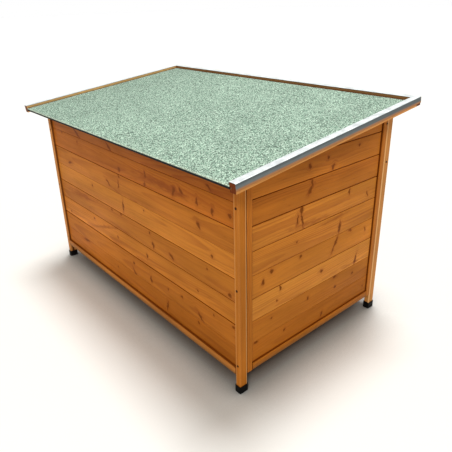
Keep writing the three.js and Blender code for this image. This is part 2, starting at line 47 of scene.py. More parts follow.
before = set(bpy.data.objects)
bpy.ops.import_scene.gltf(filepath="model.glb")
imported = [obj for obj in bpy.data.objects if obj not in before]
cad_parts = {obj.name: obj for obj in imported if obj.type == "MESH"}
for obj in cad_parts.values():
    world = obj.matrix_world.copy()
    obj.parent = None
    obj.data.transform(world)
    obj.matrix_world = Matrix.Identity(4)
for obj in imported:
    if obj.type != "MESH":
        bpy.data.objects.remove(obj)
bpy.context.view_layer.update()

MM = 0.001
AXIS = {"X": Vector((1, 0, 0)), "Y": Vector((0, 1, 0)), "Z": Vector((0, 0, 1))}
SIDES, ENDS = ("left", "right"), ("front", "back")
COLOUR = {"min": 0, "max": 1, "size": 3, "subtype": "COLOR"}
SHARP = radians(35)

# Width of a year ring, thickness of a ply, and the colour of painted shade along the lower edge of the bottom
# rails, near the floor
YEAR_RING, PLY = 4.6 * MM, 1.6 * MM
LOW_SHADE_COLOUR = (0.17, 0.085, 0.035)

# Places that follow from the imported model. Boards lie on one grid of rows all round.
ROWS_PER_BOARD = 2
FIRST_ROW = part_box("back_boards_1")[0].z
ROW_PITCH = (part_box("back_boards_2")[0].z - FIRST_ROW) / ROWS_PER_BOARD
BODY_BACK_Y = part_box("post_back_left")[1].y
BODY_FRONT_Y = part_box("post_front_left")[0].y
BODY_HALF_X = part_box("post_back_right")[1].x
POST_TOPS = [(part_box(f"post_{end}_left")[0].y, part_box(f"post_{end}_left")[1].z) for end in ENDS]
ROOF_RISE = (POST_TOPS[0][1] - POST_TOPS[1][1]) / (POST_TOPS[1][0] - POST_TOPS[0][0])
ROOF_SLOPE = atan(ROOF_RISE)
ROOF_DOWN = Vector((0, cos(ROOF_SLOPE), -sin(ROOF_SLOPE)))
ROOF_UP = Vector((0, sin(ROOF_SLOPE), cos(ROOF_SLOPE)))

# The crease in the felt: place of its middle along X and up the slope from the low
# edge, and how far it runs along X for each length down the slope
CREASE_X, CREASE_UP, CREASE_LEAN = -47 * MM, 60 * MM, 0.636

# Screws: radius of a head, heights on the posts' front and back faces, how far in from
# the post's outer face they sit, and (from the front, height) of those on the end faces
SCREW = 3.2 * MM
POST_SCREWS = (86 * MM, 313 * MM, 529 * MM)
POST_SCREW_IN = 9 * MM
END_POST_SCREW, STILE_SCREW = (12.5 * MM, 508 * MM), (30.5 * MM, 625 * MM)

# Board joints: how far the faces of two neighbours stand apart, in mm, from the
# lowest joint up. The walls that the photograph hides repeat these.
BACK_JOINTS = (0.1, 2.6, 1.3, 1.5, 0.3, 1.7, 0.6)
SIDE_JOINTS = (0.1, 0.5, 1.0, 0.6, 1.0, 2.2, 1.6, 1.6)

# Tone of each board row against the mean of its wall, from the lowest row up. The top back rows are darker
# also as painted shade under the eave.
BACK_TONES_AND_EAVE_SHADE = (0.87, 0.95, 1.05, 1.02, 1.12, 1.00, 0.81, 0.77)
SIDE_TONES = (0.91, 1.00, 1.29, 1.08, 1.13, 1.16, 0.93, 0.97, 0.95)

# Painted light: how much paler some rows get from their middle towards the far end, standing in for light from
# the lit floor there; below zero it is painted shade
BACK_PAINTED_END_LIGHT = {0: 0.25, 1: 0.27, 2: 0.19}
SIDE_PAINTED_END_LIGHT = {1: -0.12, 3: 0.15}

# Painted highlight: how much paler a row gets just above the joint at its lower edge. On the top back row it
# also stands in for painted shade under the eave above it.
BACK_PAINTED_HIGHLIGHTS = {2: 0.15, 4: 0.15, 6: 0.25, 7: 0.12}
SIDE_PAINTED_HIGHLIGHTS = {7: 0.16}

# Frame timbers that are paler than the rest: tone, and how far the glaze has gone
FRAME_TONES = {
    "post_front_left": (1.10, 0.20),
    "left_front_stile": (0.98, 0.02),
    "post_back_right": (1.0, 0.15),
    "back_bottom_rail": (1.04, 0.08),
}

# Branch knots, in mm: place along the wall from its middle, height over the row's
# lower edge, width and height of the mark, and its lean from upright in degrees. A
# mark is 6 wide and high and upright where they are left out.
BACK_KNOTS = {
    0: ((-190, 34, 6, 30, -10), (-345, 57, 7, 7), (345, 62, 40, 7, 6), (110, 44)),
    1: ((-5, 40, 6, 7), (-6, 8, 6, 22, 40), (-107, 25, 6, 18, 5), (-200, 32, 6, 7), (-270, 38, 6, 8),
        (-356, 14, 6, 28, 45), (-415, 50), (-495, 54, 8, 8)),
    2: ((250, 48, 7, 7), (453, 14), (85, 33, 6, 8), (-95, 35, 6, 10), (-348, 29)),
    3: ((107, 60, 7, 6), (47, 61), (-123, 56, 6, 7), (-136, 20, 7, 16, 20), (-232, 20, 7, 20, 62),
        (-393, 50), (-482, 12, 11, 9)),
    4: ((-99, 54), (232, 46, 7, 8), (25, 31, 5, 32, -4), (-417, 29, 8, 8, 20)),
    5: ((33, 60), (42, 34, 5, 20, -4), (108, 20, 6, 22, 56), (-365, 30, 9, 18, 40), (395, 24, 24, 8, 10)),
    6: ((427, 62), (307, 50), (26, 18, 9, 9), (-124, 40, 6, 14), (-118, 8, 6, 13), (-296, 38, 6, 15, 45),
        (-262, 26, 8, 20, -20), (-362, 28, 5, 16), (-424, 20, 6, 14), (-488, 30, 9, 9)),
    7: ((303, 15, 6, 42, 58), (78, 10, 6, 26, 52), (-412, 12, 6, 18, 70)),
}
SIDE_KNOTS = {
    0: ((-233, 34), (-30, 24, 6, 14, -15), (132, 48), (239, 64, 8, 6)),
    1: ((-84, 62, 14, 8), (-171, 40, 6, 7), (36, 42, 7, 7), (-88, 27), (182, 45)),
    2: ((151, 59, 5, 15), (-180, 18, 6, 30, -12), (-17, 41, 12, 8), (162, 24)),
    3: ((-72, 40, 7, 42, -30), (-141, 62, 12, 8), (-217, 40, 6, 12, 12), (75, 57, 7, 9), (186, 54, 11, 9),
        (215, 34, 6, 13, -10)),
    4: ((-88, 22, 7, 30, -6), (92, 37)),
    5: ((79, 58, 9, 18), (75, 26, 5, 40, 12), (93, 34, 5, 24, -4), (-123, 54, 6, 15, -8),
        (-212, 24, 5, 14, 12)),
    6: ((42, 54, 7, 17, 20), (49, 36, 8, 22, -32)),
    7: ((-152, 50, 8, 7), (-17, 42, 8, 7), (54, 34, 7, 12), (-40, 12, 8, 14, -36)),
}

# Dark resin streaks, in mm: place along the wall from its middle, height over the
# row's lower edge, length, height, and the angle at which they cross the board
BACK_STREAKS = {
    2: ((182, 39, 270, 13, -16),),
    3: ((61, 8, 130, 9, 3), (330, 48, 250, 24, -3)),
    5: ((60, 6, 80, 9, 11), (-45, 3, 52, 7, 0)),
    6: ((-200, 30, 320, 26, 2),),
}
SIDE_STREAKS = {
    2: ((-150, 10, 180, 12, 2),),
    4: ((-60, 56, 160, 12, -3),),
    5: ((60, 12, 200, 16, 3),),
}


class WoodFinish(bpy.types.PropertyGroup):
    """Glazed softwood of the walls and the frame."""

    light: FloatVectorProperty(
        name="Early wood", description="Glazed colour of the pale wood between the year rings",
        default=(0.487, 0.161, 0.017), **COLOUR)
    dark: FloatVectorProperty(
        name="Late wood", description="Glazed colour of the year rings",
        default=(0.293, 0.074, 0.009), **COLOUR)
    raw: FloatVectorProperty(
        name="Raw wood", description="Colour of the wood where the glaze is thin",
        default=(0.68, 0.42, 0.19), **COLOUR)
    knot: FloatVectorProperty(
        name="Knot", description="Colour of a knot's core", default=(0.170, 0.042, 0.0), **COLOUR)
    # Joints, corners and recesses are darkened where they close in, partly by glaze that gathers there and
    # partly as painted shade
    pooled_and_shade: FloatVectorProperty(
        name="Pooled glaze and shade", description="Colour of the glaze that gathers in joints and corners",
        default=(0.200, 0.030, 0.0), **COLOUR)
    pooling_and_shade: FloatProperty(
        name="Pooling", description="How strongly the glaze darkens joints and corners",
        default=0.8, min=0, max=1, subtype="FACTOR")
    reach: FloatProperty(
        name="Pooling reach", description="How far the pooled glaze reaches out of a corner",
        default=4.5 * MM, min=0, unit="LENGTH")
    # Worn edges are paler partly from worn glaze and partly as a painted highlight on the rounded arrises
    worn: FloatProperty(
        name="Worn edges", description="How much paler the glaze is along outer edges",
        default=0.8, min=0, max=1, subtype="FACTOR")
    bow: FloatProperty(
        name="Board bow", description="How far a board's face wanders out of flat",
        default=0.15 * MM, min=0, unit="LENGTH")
    arris: FloatProperty(
        name="Arris", description="Radius of a board's edge in a tight joint",
        default=0.45 * MM, min=0, unit="LENGTH")


class RoofFinish(bpy.types.PropertyGroup):
    """Mineral felt and the metal trims round it."""

    pale: FloatVectorProperty(
        name="Pale granules", description="Colour of the pale mineral granules",
        default=(0.69, 0.885, 0.73), **COLOUR)
    green: FloatVectorProperty(
        name="Green granules", description="Colour of the green mineral granules",
        default=(0.25, 0.40, 0.305), **COLOUR)
    bitumen: FloatVectorProperty(
        name="Bitumen", description="Colour of the bitumen between the granules",
        default=(0.030, 0.042, 0.036), **COLOUR)
    granule: FloatProperty(
        name="Granule", description="Width of one granule", default=2.3 * MM, min=0.1 * MM, unit="LENGTH")
    swell: FloatProperty(
        name="Swell", description="How far the felt rises and falls over the deck",
        default=0.7 * MM, min=0, unit="LENGTH")
    # The trims' top and side are lit and shaded copies of one metal: painted reflection on the upper flange,
    # painted shade on the hanging one
    trim: FloatVectorProperty(
        name="Trim top", description="Reflected colour of the trims' upper flange",
        default=(0.76, 0.80, 0.795), **COLOUR)
    dull: FloatVectorProperty(
        name="Trim side", description="Reflected colour of the trims' hanging flange",
        default=(0.148, 0.170, 0.176), **COLOUR)


class StageSetting(bpy.types.PropertyGroup):
    """Floor, camera and light."""

    lens: FloatProperty(
        name="Lens", description="Focal length on a 36 mm sensor", default=38.745, min=1, unit="CAMERA")
    eye: FloatVectorProperty(
        name="Eye", description="Place of the camera, fitted to the kennel's edges in the photograph",
        default=(-1.2605, 0.9514, 0.9555), size=3, unit="LENGTH")
    pitch: FloatProperty(
        name="Pitch", description="How far the camera looks down",
        default=radians(23.14), subtype="ANGLE")
    heading: FloatProperty(
        name="Heading", description="Direction of view, from +X towards +Y",
        default=radians(-40.08), subtype="ANGLE")
    roll: FloatProperty(
        name="Roll", description="Turn of the camera round its line of view",
        default=-0.0246, subtype="ANGLE")
    floor: FloatVectorProperty(
        name="Floor", description="Colour of the floor", default=(0.90, 0.895, 0.868), **COLOUR)
    sky: FloatProperty(
        name="Sky", description="Strength of the even light from all round", default=0.175, min=0)
    key: FloatProperty(
        name="Key", description="Strength of the light over the kennel", default=2.15, min=0)
    fill: FloatProperty(
        name="Fill", description="Strength of the broad light from the camera's side", default=1.74, min=0)


# Node helpers. Each works in the node tree of its first socket.

def feed(node, inputs):
    """Sets a node's inputs, or links them where the value is a socket."""
    for key, value in inputs.items():
        socket = node.inputs[key]
        if isinstance(value, bpy.types.NodeSocket):
            node.id_data.links.new(value, socket)
        else:
            socket.default_value = (*value, 1) if socket.type == "RGBA" else value
    return node


def put(near, kind, inputs=None, **settings):
    """A new node in a tree or beside a socket, with its settings made and its inputs fed."""
    made = near.id_data.nodes.new(kind)
    for key, value in settings.items():
        setattr(made, key, value)
    return feed(made, inputs or {})


def math_of(operation, *values, clamp=False):
    inputs = dict(enumerate(values))
    return put(values[0], "ShaderNodeMath", inputs, operation=operation, use_clamp=clamp).outputs[0]


def plus(first, second):
    return math_of("ADD", first, second)


def minus(first, second):
    return math_of("SUBTRACT", first, second)


def times(first, second):
    return math_of("MULTIPLY", first, second)


def size_of(value):
    return math_of("ABSOLUTE", value)


def vector_of(operation, *values):
    made = put(values[0], "ShaderNodeVectorMath", dict(enumerate(values)), operation=operation)
    return made.outputs["Value" if operation == "LENGTH" else "Vector"]


def scaled(vector, *factors):
    return vector_of("MULTIPLY", vector, factors)


def split(vector):
    return put(vector, "ShaderNodeSeparateXYZ", {0: vector}).outputs


def remap(value, low, high, to_low=0.0, to_high=1.0):
    """value from low..high to to_low..to_high, easing in and out."""
    inputs = {"Value": value, "From Min": low, "From Max": high, "To Min": to_low, "To Max": to_high}
    return put(value, "ShaderNodeMapRange", inputs, interpolation_type="SMOOTHSTEP").outputs[0]


def mix_colours(factor, first, second):
    return put(factor, "ShaderNodeMix", {0: factor, 6: first, 7: second}, data_type="RGBA").outputs[2]


def shaded(colour, shade):
    """colour with its three channels multiplied by shade."""
    tint = put(shade, "ShaderNodeCombineColor", {0: shade, 1: shade, 2: shade}).outputs[0]
    inputs = {0: 1.0, 6: colour, 7: tint}
    return put(shade, "ShaderNodeMix", inputs, data_type="RGBA", blend_type="MULTIPLY").outputs[2]


def noise_of(vector, detail=2.0, roughness=0.5):
    inputs = {"Vector": vector, "Scale": 1.0, "Detail": detail, "Roughness": roughness}
    return put(vector, "ShaderNodeTexNoise", inputs).outputs["Fac"]


def toned(colour, tone):
    return [channel * tone for channel in colour]


def glazed(colour, coats):
    """A colour of glazed wood, where coats under 1 is a thicker and redder glaze."""
    return [channel * coats ** power for channel, power in zip(colour, (1, 1.6, 2.8))]


def shader_group(name, **inputs):
    """Turns a function that wires a shader node group into one that places the group."""
    def placer(wire):
        def place(tree, values):
            group = bpy.data.node_groups.get(name)
            if not group:
                group = bpy.data.node_groups.new(name, "ShaderNodeTree")
                new_socket = group.interface.new_socket
                for kind, labels in inputs.items():
                    for label in labels:
                        new_socket(name=label, in_out="INPUT", socket_type=f"NodeSocket{kind}")
                results = wire(put(group, "NodeGroupInput").outputs)
                for label in results:
                    kind = "Color" if label == "Color" else "Float"
                    new_socket(name=label, in_out="OUTPUT", socket_type=f"NodeSocket{kind}")
                put(group, "NodeGroupOutput", results)
            return put(tree, "ShaderNodeGroup", values, node_tree=group).outputs
        return place
    return placer


# Effects shared by several finishes

MARK = ("Position", "Place", "Half size")


def distance_in_mark(flat, given):
    """How far flat lies from a mark's middle, in half sizes of the turned mark."""
    inputs = {"Vector": flat, "Angle": given["Angle"]}
    turned = put(flat, "ShaderNodeVectorRotate", inputs, rotation_type="Z_AXIS").outputs[0]
    return vector_of("LENGTH", vector_of("DIVIDE", turned, given["Half size"]))


@shader_group("Pine grain", Vector=("Position", "Pith"), Float=("Push", "Seed"),
              Color=("Early wood", "Late wood"))
def pine_grain(given):
    seeds = {axis: given["Seed"] for axis in "XYZ"}
    shift = scaled(put(given["Seed"], "ShaderNodeCombineXYZ", seeds).outputs[0], 3.7, 11.3, 7.9)

    def field(along, across, detail, roughness=0.5):
        stretched = scaled(given["Position"], along, across, across)
        return noise_of(vector_of("ADD", stretched, shift), detail, roughness)

    # Year rings: distance from a pith that lies behind the face and runs out of line
    wander = times(minus(field(2.4, 9, 2), 0.5), 0.055)
    place, pith = split(given["Position"]), split(given["Pith"])
    across = minus(plus(plus(place["Y"], given["Push"]), wander), pith["Y"])
    deep = plus(math_of("MULTIPLY_ADD", place["X"], pith["X"], pith["Z"]), place["Z"])
    radius = vector_of("LENGTH", put(deep, "ShaderNodeCombineXYZ", {"Y": across, "Z": deep}).outputs[0])
    turn = math_of("FRACT", math_of("DIVIDE", radius, YEAR_RING))
    late = times(remap(turn, 0.25, 0.86), remap(turn, 1.0, 0.9))
    rings = times(late, remap(field(1.6, 22, 2), 0.35, 0.68, 0.10, 0.46))

    # Long soft streaks, fibres and the short dark dashes of resin canals
    streak = remap(field(1.3, 55, 3, 0.6), 0.36, 0.70)
    fibre = field(16, 900, 2)
    dash = remap(field(30, 620, 1), 0.66, 0.74)
    cloud = field(4.2, 12, 2)
    dark = math_of("ADD", rings, times(streak, 0.34), clamp=True)
    wood = mix_colours(dark, given["Early wood"], given["Late wood"])
    shade = plus(remap(cloud, 0.25, 0.75, 0.86, 1.12), remap(fibre, 0.3, 0.7, -0.05, 0.05))
    return {
        "Color": shaded(wood, minus(shade, times(dash, 0.22))),
        "Height": plus(times(fibre, 0.5), times(late, 0.5)),
        "Sheen": minus(cloud, times(dash, 0.5))}


@shader_group("Branch knot", Vector=MARK, Float=("Angle", "Core", "Halo", "Push"))
def branch_knot(given):
    away = vector_of("SUBTRACT", given["Position"], given["Place"])
    inputs = {"Vector": given["Position"], "Scale": 75.0, "Detail": 1.0}
    warp = put(away, "ShaderNodeTexNoise", inputs).outputs["Color"]
    warp = scaled(vector_of("SUBTRACT", warp, (0.5, 0.5, 0.5)), 0.016, 0.009, 0)
    flat = scaled(vector_of("ADD", away, warp), 1, 1, 0)
    ragged = times(minus(noise_of(scaled(away, 330, 260, 120)), 0.5), 1.3)
    distance = distance_in_mark(flat, given)
    halo = remap(distance, 4.2, 0.9)
    push = times(times(split(flat)["Y"], halo), -0.75)
    return {
        "Core": math_of("MAXIMUM", remap(plus(distance, ragged), 2.3, 0.4), given["Core"]),
        "Halo": math_of("MAXIMUM", halo, given["Halo"]),
        "Push": plus(push, given["Push"])}


@shader_group("Resin streak", Vector=MARK, Float=("Angle",))
def resin_streak(given):
    flat = scaled(vector_of("SUBTRACT", given["Position"], given["Place"]), 1, 1, 0)
    ragged = noise_of(scaled(given["Position"], 26, 110, 60), 3, 0.6)
    reach = plus(distance_in_mark(flat, given), math_of("MULTIPLY_ADD", ragged, 2.6, -1.3))
    return {"Stain": remap(reach, 1.25, 0.1, 0.0, 0.72)}


@shader_group("Pooled glaze and shade", Color=("Color", "Pooled", "Bare"), Float=("Amount", "Reach", "Worn"))
def glaze_and_painted_shade(given):
    # Painted shade: darker where near parts close in round a point, partly pooled glaze; paler along outer
    # edges, partly worn glaze and partly a painted highlight
    reach = given["Reach"]
    closed = put(reach, "ShaderNodeAmbientOcclusion", {"Distance": reach}, samples=8).outputs["AO"]
    within = put(reach, "ShaderNodeAmbientOcclusion", {"Distance": 9 * MM}, samples=8, inside=True)
    edge = times(remap(within.outputs["AO"], 0.85, 0.45), given["Worn"])
    worn = mix_colours(edge, given["Color"], given["Bare"])
    return {"Color": mix_colours(times(remap(closed, 0.95, 0.66), given["Amount"]), worn, given["Pooled"])}


@shader_group("Rubbed metal", Vector=("Position",), Color=("Color",))
def rubbed_metal(given):
    lines = noise_of(scaled(given["Position"], 9, 700, 700), 3)
    dull = noise_of(scaled(given["Position"], 35, 60, 60), 4, 0.6)
    return {
        "Color": shaded(given["Color"], remap(plus(lines, dull), 0.75, 1.25, 0.86, 1.08)),
        "Roughness": remap(dull, 0.3, 0.7, 0.30, 0.46),
        "Height": lines}


# Materials

def new_material(name):
    material = bpy.data.materials.new(name)
    material.use_nodes = True
    tree = material.node_tree
    tree.nodes.clear()
    shader = put(tree, "ShaderNodeBsdfPrincipled")
    put(tree, "ShaderNodeOutputMaterial", {"Surface": shader.outputs[0]})
    return material, tree, shader


def bump(height, strength, distance):
    inputs = {"Height": height, "Strength": strength, "Distance": distance}
    return put(height, "ShaderNodeBump", inputs).outputs[0]


def board_space(tree, middle, along, across):
    """Position on a board, in metres from its middle, and where a face looks.

    The axes of both run along the board, across it and into it.
    """
    turn = Matrix((along, across, along.cross(across)))
    coordinates = put(tree, "ShaderNodeTexCoord").outputs
    place = {"Vector": coordinates["Object"], "Rotation": turn.to_euler(), "Location": -(turn @ middle)}
    facing = {"Vector": coordinates["Normal"], "Rotation": turn.to_euler()}
    return (put(tree, "ShaderNodeMapping", place).outputs[0],
            put(tree, "ShaderNodeMapping", facing, vector_type="VECTOR").outputs[0])


def mark_at(position, along, across, width=6, height=6, angle=0):
    """What the group of a knot or a streak needs, from its place and size in mm."""
    return {"Position": position, "Place": (along * MM, across * MM, 0),
            "Half size": (width / 2 * MM, height / 2 * MM, 1), "Angle": radians(angle)}


def pine(name, middle, along, across, tone=1.0, knots=(), streaks=(), bare=0.0, worn=0.0, reach=None,
         worn_and_lit_corner=None, run_end=0.0, painted_end_light=0.0, lip=0.0, low_edge=0.0, low_shade=0.0):
    """Glazed softwood, where bare and worn are how far its faces and edges have lost glaze.

    Worn_and_lit_corner is a point on the upright edge that has lost the most glaze; the paler wood
    there and along the worn edges is partly wear and partly a painted highlight. Run_end is where
    along the board it ends: it darkens there, partly by pooled glaze and partly as painted shade in the
    recess by the post, and painted_end_light is how much paler it gets towards there, as painted light
    from the floor. Lip is how much paler it gets just above low_edge, as a painted highlight. Low_shade
    is how dark its lower edge is, as painted shade near the floor.

    A knot is (along, across, width, height, lean), a streak (along, across, length,
    height, angle), both from the board's middle, in mm and degrees.
    """
    wood = bpy.context.scene.kennel_wood
    draw = random.Random(name)
    material, tree, shader = new_material(name)
    position, facing = board_space(tree, middle, along, across)
    place = split(position)

    # Pale wood for worn glaze, also used as a painted highlight on edges
    def pale_worn_and_lit(share):
        return toned(Vector(wood.light).lerp(Vector(wood.raw), share), 1.15)

    marks = {"Core": 0.0, "Halo": 0.0, "Push": 0.0}
    for knot in knots:
        sockets = branch_knot(tree, {**mark_at(position, *knot), **marks})
        marks = {label: sockets[label] for label in marks}
    early, late = (
        Vector(glazed(colour, tone)).lerp(Vector(wood.raw) * tone, bare)
        for colour in (wood.light, wood.dark))
    grain = pine_grain(tree, {
        "Position": position, "Push": marks["Push"], "Seed": draw.uniform(0, 9),
        "Pith": (draw.uniform(-0.035, 0.035), draw.uniform(-22, 22) * MM, draw.uniform(24, 60) * MM),
        "Early wood": early, "Late wood": late})
    colour = grain["Color"]
    for *shape, angle in streaks:
        stain = resin_streak(tree, mark_at(position, *shape, -angle))["Stain"]
        colour = mix_colours(stain, colour, glazed(wood.dark, 0.9 * tone))
    if knots:
        warm = mix_colours(times(marks["Halo"], 0.30), colour, glazed(wood.dark, tone))
        stain = remap(marks["Core"], 0.2, 0.65, 0.0, 0.75)
        stained = mix_colours(stain, warm, glazed(wood.dark, 0.8 * tone))
        colour = mix_colours(remap(marks["Core"], 0.65, 0.9, 0.0, 0.95), stained, wood.knot)
    end_grain = remap(size_of(split(facing)["X"]), 0.6, 0.85)
    colour = mix_colours(times(end_grain, 0.96), colour, glazed(wood.dark, 0.42))
    # Painted light from the lit floor, growing towards the far end of the board
    if painted_end_light:
        colour = shaded(colour, remap(place["X"], -0.3 * run_end, 0.8 * run_end, 1.0, 1.0 + painted_end_light))
    # Painted highlight on the board's lower edge, just above its joint
    if lip:
        colour = shaded(colour, remap(place["Y"], low_edge + 20 * MM, low_edge + 4 * MM, 1.0, 1.0 + lip))
    # Darker at the board's end, partly pooled glaze and partly painted shade in the recess beside the post
    if run_end:
        left = size_of(minus(place["X"], run_end))
        colour = mix_colours(remap(left, 9 * MM, 6 * MM), colour, toned(wood.pooled_and_shade, 0.3))
    # Painted shade, darkening the lower edge as it nears the floor
    if low_shade:
        colour = mix_colours(remap(place["Y"], 5 * MM, -9 * MM, 0.0, low_shade), colour, LOW_SHADE_COLOUR)
    colour = glaze_and_painted_shade(tree, {
        "Color": colour, "Pooled": toned(wood.pooled_and_shade, 0.65 if low_shade else 0.3 if reach else 1.0),
        "Amount": wood.pooling_and_shade, "Reach": reach or wood.reach, "Worn": worn,
        "Bare": pale_worn_and_lit(0.3)})["Color"]
    # Paler spot along the post's edge by the stile, partly worn glaze and partly a painted highlight on the
    # arris
    if worn_and_lit_corner:
        away = vector_of("SUBTRACT", put(tree, "ShaderNodeTexCoord").outputs["Object"], worn_and_lit_corner)
        away = vector_of("LENGTH", scaled(away, 1, 1, 0))
        colour = mix_colours(remap(away, 4.2 * MM, 2.6 * MM), colour, pale_worn_and_lit(0.7))
    feed(shader, {
        "Base Color": colour, "Roughness": remap(grain["Sheen"], 0.2, 0.8, 0.50, 0.40),
        "Specular IOR Level": 0.04, "Normal": bump(grain["Height"], 0.25, 0.25 * MM)})
    return material


def plywood(name, middle, along, across):
    """Pale veneer with its plies showing at the cut edges."""
    material, tree, shader = new_material(name)
    position, facing = board_space(tree, middle, along, across)
    grain = pine_grain(tree, {
        "Position": position, "Seed": random.Random(name).uniform(0, 9), "Pith": (0.03, 0.1, 0.16),
        "Early wood": (0.56, 0.37, 0.19), "Late wood": (0.44, 0.26, 0.12)})
    band = remap(math_of("PINGPONG", split(position)["Z"], PLY), 0.6 * MM, 1.0 * MM, 0.0, 0.7)
    plies = mix_colours(band, (0.26, 0.13, 0.05), (0.12, 0.05, 0.018))
    cut = remap(size_of(split(facing)["Z"]), 0.8, 0.5)
    feed(shader, {
        "Base Color": mix_colours(cut, grain["Color"], plies),
        "Roughness": remap(grain["Sheen"], 0.2, 0.8, 0.74, 0.62),
        "Normal": bump(grain["Height"], 0.2, 0.25 * MM)})
    return material


def mineral_felt(name, low_edge):
    """Green granules bedded in bitumen, bare along the folded low edge."""
    roof = bpy.context.scene.kennel_roof
    material, tree, shader = new_material(name)
    position, _ = board_space(tree, low_edge, AXIS["X"], ROOF_DOWN)
    place = split(position)
    inputs = {"Vector": position, "Scale": 1 / roof.granule}
    cells = put(tree, "ShaderNodeTexVoronoi", inputs, feature="F1").outputs
    pick = put(tree, "ShaderNodeSeparateColor", {0: cells["Color"]}).outputs
    clump = noise_of(scaled(position, 430, 430, 430), 2, 0.6)
    pale = remap(plus(pick[0], times(clump, 1.6)), 1.06, 1.62)
    granules = mix_colours(pale, roof.green, roof.pale)
    gap = remap(plus(pick[1], times(clump, -1.7)), -0.35, -0.05)
    felt = mix_colours(times(gap, 0.85), granules, roof.bitumen)

    # Broad clouds of tone, and painted shade towards the right end, most near the low edge there
    broad = remap(noise_of(scaled(position, 7, 7, 7), 3), 0.3, 0.7, 0.93, 1.06)
    right = remap(place["X"], -0.1, 0.58, 1.0, 0.88)
    low_right = remap(plus(place["X"], times(place["Y"], 0.5)), -0.05, 0.25, 1.0, 0.93)
    felt = shaded(felt, times(broad, times(right, low_right)))

    # A line of painted shade just below the crease, a pale strip along the low edge, and its bare fold of
    # bitumen, darkened further as painted shade
    past = plus(place["Y"], CREASE_UP - 4 * MM)
    aside = size_of(minus(minus(place["X"], times(past, CREASE_LEAN)), CREASE_X))
    line = times(remap(aside, 6 * MM, 1 * MM, 0, 0.85), remap(size_of(past), 28 * MM, 15 * MM))
    felt = mix_colours(line, felt, toned(roof.bitumen, 2))
    felt = mix_colours(remap(place["Y"], -6 * MM, -2 * MM, 0, 0.3), felt, (0.72, 0.76, 0.60))
    # Painted shade: the bare fold is darker than the bitumen itself
    folded = remap(place["Z"], 6.4 * MM, 5.4 * MM)
    height = minus(plus(pick[0], clump), cells["Distance"])
    feed(shader, {
        "Base Color": mix_colours(folded, felt, toned(roof.bitumen, 0.25)), "Roughness": 0.92,
        "Specular IOR Level": 0.25, "Normal": bump(height, 0.5, 0.6 * MM)})
    return material


def bright_metal(name, along, across, colour, dull=None, corner=(0, 0, 0)):
    """Rubbed metal, where dull is the colour of its upright faces if they differ.

    Those faces carry painted shade by the fold at the corner and far along from it, and a painted warm
    reflection of the wood by their lower edge.
    """
    material, tree, shader = new_material(name)
    position, _ = board_space(tree, Vector(corner), along, across)
    metal = colour
    if dull:
        place = split(position)
        # Painted shade by the fold and far along, and a painted warm reflection of the wood at the lower edge
        upright = mix_colours(remap(place["Z"], 2 * MM, 9 * MM), toned(dull, 0.62), dull)
        upright = mix_colours(remap(place["X"], -0.65, -0.2), toned(dull, 0.62), upright)
        warm = remap(place["Z"], 10.5 * MM, 15.5 * MM, 0, 0.95)
        upright = mix_colours(warm, upright, (0.40, 0.17, 0.060))
        upward = split(put(tree, "ShaderNodeTexCoord").outputs["Normal"])["Z"]
        metal = mix_colours(remap(upward, 0.3, 0.8), upright, metal)
    metal = rubbed_metal(tree, {"Position": position, "Color": metal})
    feed(shader, {
        "Base Color": metal["Color"], "Roughness": metal["Roughness"], "Metallic": 1.0,
        "Normal": bump(metal["Height"], 0.15, 0.05 * MM)})
    return material


def moulded_plastic(name):
    material, tree, shader = new_material(name)
    position = put(tree, "ShaderNodeTexCoord").outputs["Object"]
    fine = noise_of(scaled(position, 1500, 1500, 1500), 2)
    worn = noise_of(scaled(position, 60, 60, 60), 3)
    feed(shader, {
        "Base Color": mix_colours(worn, (0.002, 0.002, 0.002), (0.007, 0.0065, 0.0065)),
        "Roughness": remap(worn, 0.3, 0.7, 0.38, 0.55), "Specular IOR Level": 0.05,
        "Normal": bump(fine, 0.3, 0.08 * MM)})
    return material


# Meshes and pieces

def arc(centre, radius, start, end, steps=4):
    """Points of an arc in a section, from start to end in quarter turns."""
    angles = [radians(90 * (start + (end - start) * step / steps)) for step in range(steps + 1)]
    return [(centre[0] + radius * cos(a), centre[1] + radius * sin(a)) for a in angles]


def bridge(made, first, second):
    """Faces between two rings with as many points."""
    for index in range(len(first)):
        after = (index + 1) % len(first)
        made.faces.new((first[index], first[after], second[after], second[index]))


def sweep(outline, stations, place):
    """Closed solid with the outline at each station, where place(station, a, b) is a point."""
    made = bmesh.new()
    rings = [[made.verts.new(place(station, a, b)) for a, b in outline] for station in stations]
    for first, second in zip(rings, rings[1:]):
        bridge(made, first, second)
    made.faces.new(rings[0])
    made.faces.new(rings[-1])
    return made


def steps_between(low, high, pitch):
    count = max(1, round((high - low) / pitch))
    return [low + (high - low) * index / count for index in range(count + 1)]


def add_object(name, data):
    made = bpy.data.objects.new(name, data)
    bpy.context.scene.collection.objects.link(made)
    return made


def add_mesh(name, made, material):
    mesh = bpy.data.meshes.new(name)
    made.to_mesh(mesh)
    made.free()
    mesh.materials.append(material)
    return add_object(name, mesh)


def add_piece(name, made, body, material, replaced=()):
    """Turns a bmesh into a piece on a body, smooth but for its sharp edges."""
    bmesh.ops.recalc_face_normals(made, faces=made.faces)
    for face in made.faces:
        face.smooth = True
    for edge in made.edges:
        edge.smooth = edge.calc_face_angle(0) < SHARP
    piece = add_mesh(name, made, material)
    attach(piece, body)
    if replaced:
        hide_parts(*replaced)


